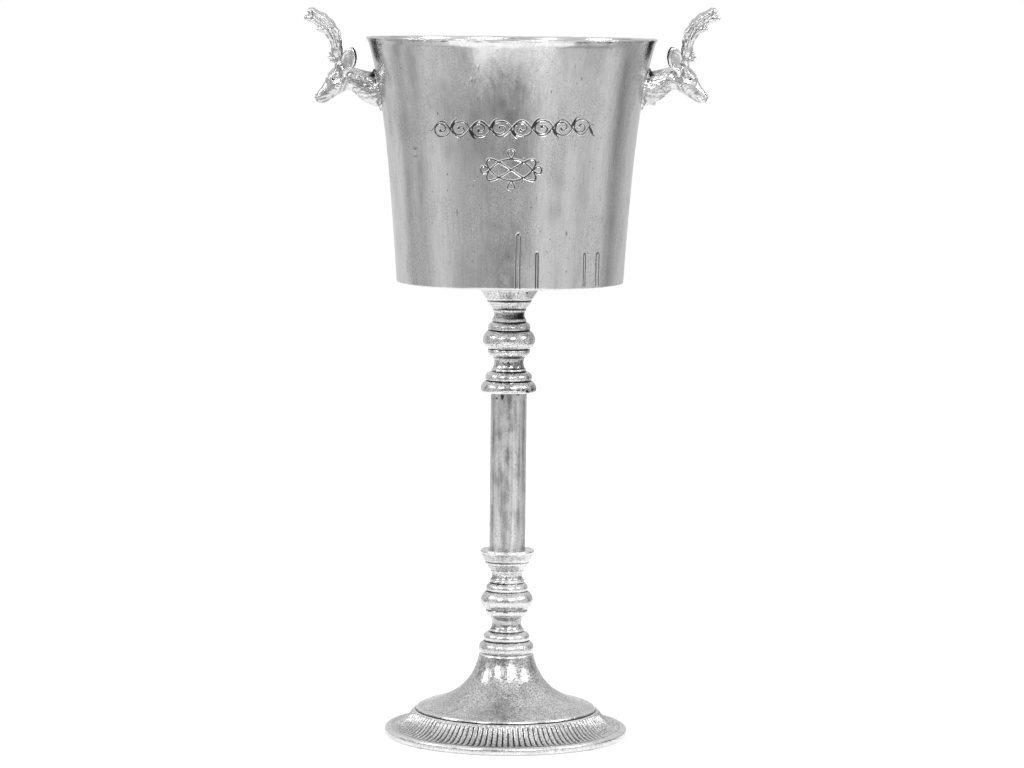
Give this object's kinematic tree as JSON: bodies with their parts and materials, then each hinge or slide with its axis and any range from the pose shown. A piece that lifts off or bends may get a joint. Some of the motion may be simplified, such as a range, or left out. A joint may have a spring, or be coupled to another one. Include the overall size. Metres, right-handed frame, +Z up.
{
  "type": "champagne bucket stand",
  "caption": "Free-standing wine cooler: a flared metal pail with stag-head handles on a turned stem over a wide round fluted foot.",
  "frame": {"origin": "middle of the round foot, on the floor", "axes": "+Z up the stem, the two handles along +X and -X, the engraved front of the bucket faces -Y"},
  "size_m": [0.4332, 0.3044, 0.7663],
  "materials": {
    "cast_aluminium": "sand cast, brushed and lightly polished, with a dark patina in the recesses",
    "handle_casting": "fine casting, hand polished on the high spots and dark in the recesses",
    "drawn_tube": "drawn tube, brushed round and lengthwise with faint pitting",
    "zinc_steel": "bright zinc plate",
    "plated_nut": "nickel plate",
    "rubber": "matt moulded rubber",
    "felt": "pressed wool felt"
  },
  "bodies": {
    "root": {"foot": "cast_aluminium", "lower_baluster": "cast_aluminium", "upper_baluster": "cast_aluminium", "bucket_collar": "cast_aluminium", "bucket": "cast_aluminium", "left_stag_head": "handle_casting", "left_front_antler": "handle_casting", "left_rear_antler": "handle_casting", "right_stag_head": "handle_casting", "right_front_antler": "handle_casting", "right_rear_antler": "handle_casting", "column_tube": "drawn_tube", "foot_clamp_washer": "zinc_steel", "foot_spring_washer": "zinc_steel", "foot_nut": "zinc_steel", "tie_rod": "zinc_steel", "bucket_clamp_washer": "zinc_steel", "left_handle_screws": "zinc_steel", "right_handle_screws": "zinc_steel", "left_handle_washers": "zinc_steel", "right_handle_washers": "zinc_steel", "bucket_cap_nut": "plated_nut", "bucket_gasket": "rubber", "bucket_seal_washer": "rubber", "foot_pads": "felt"}
  },
  "joints": []
}
